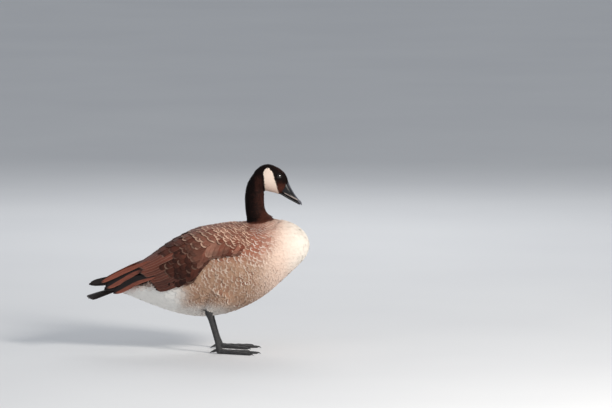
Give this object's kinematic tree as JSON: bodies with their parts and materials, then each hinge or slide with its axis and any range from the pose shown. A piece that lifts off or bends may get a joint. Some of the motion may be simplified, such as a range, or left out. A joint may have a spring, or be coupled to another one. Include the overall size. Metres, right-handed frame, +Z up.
{
  "type": "canada goose",
  "caption": "Life-size still goose standing with a curved dark neck, pale cheek patch, pale breast, folded barred brown wings, short tail and webbed feet.",
  "frame": {"origin": "on the floor, under the middle of the bird's overall box", "axes": "+X forward, the way the bill points; +Y the bird's left side; +Z up"},
  "size_m": [0.5012, 0.1866, 0.4232],
  "materials": {
    "breast_feathers": "matt feathers",
    "neck_feathers": "velvety feathers",
    "head_feathers": "velvety feathers",
    "wing_feathers": "matt feathers with pale tips",
    "tail_feathers": "stiff feathers, slight sheen",
    "bill": "satin horn",
    "eye": "wet gloss",
    "thigh_feathers": "matt feathers",
    "leg_skin": "scaly skin"
  },
  "bodies": {
    "root": {"torso": "breast_feathers", "neck_lower": "neck_feathers", "neck_upper": "neck_feathers", "head": "head_feathers", "bill_upper": "bill", "bill_lower": "bill", "eye_left": "eye", "eye_right": "eye", "wing_left": "wing_feathers", "wing_right": "wing_feathers", "tail": "tail_feathers", "thigh_left": "thigh_feathers", "thigh_right": "thigh_feathers", "leg_left": "leg_skin", "leg_right": "leg_skin", "foot_left": "leg_skin", "foot_right": "leg_skin"}
  },
  "joints": []
}
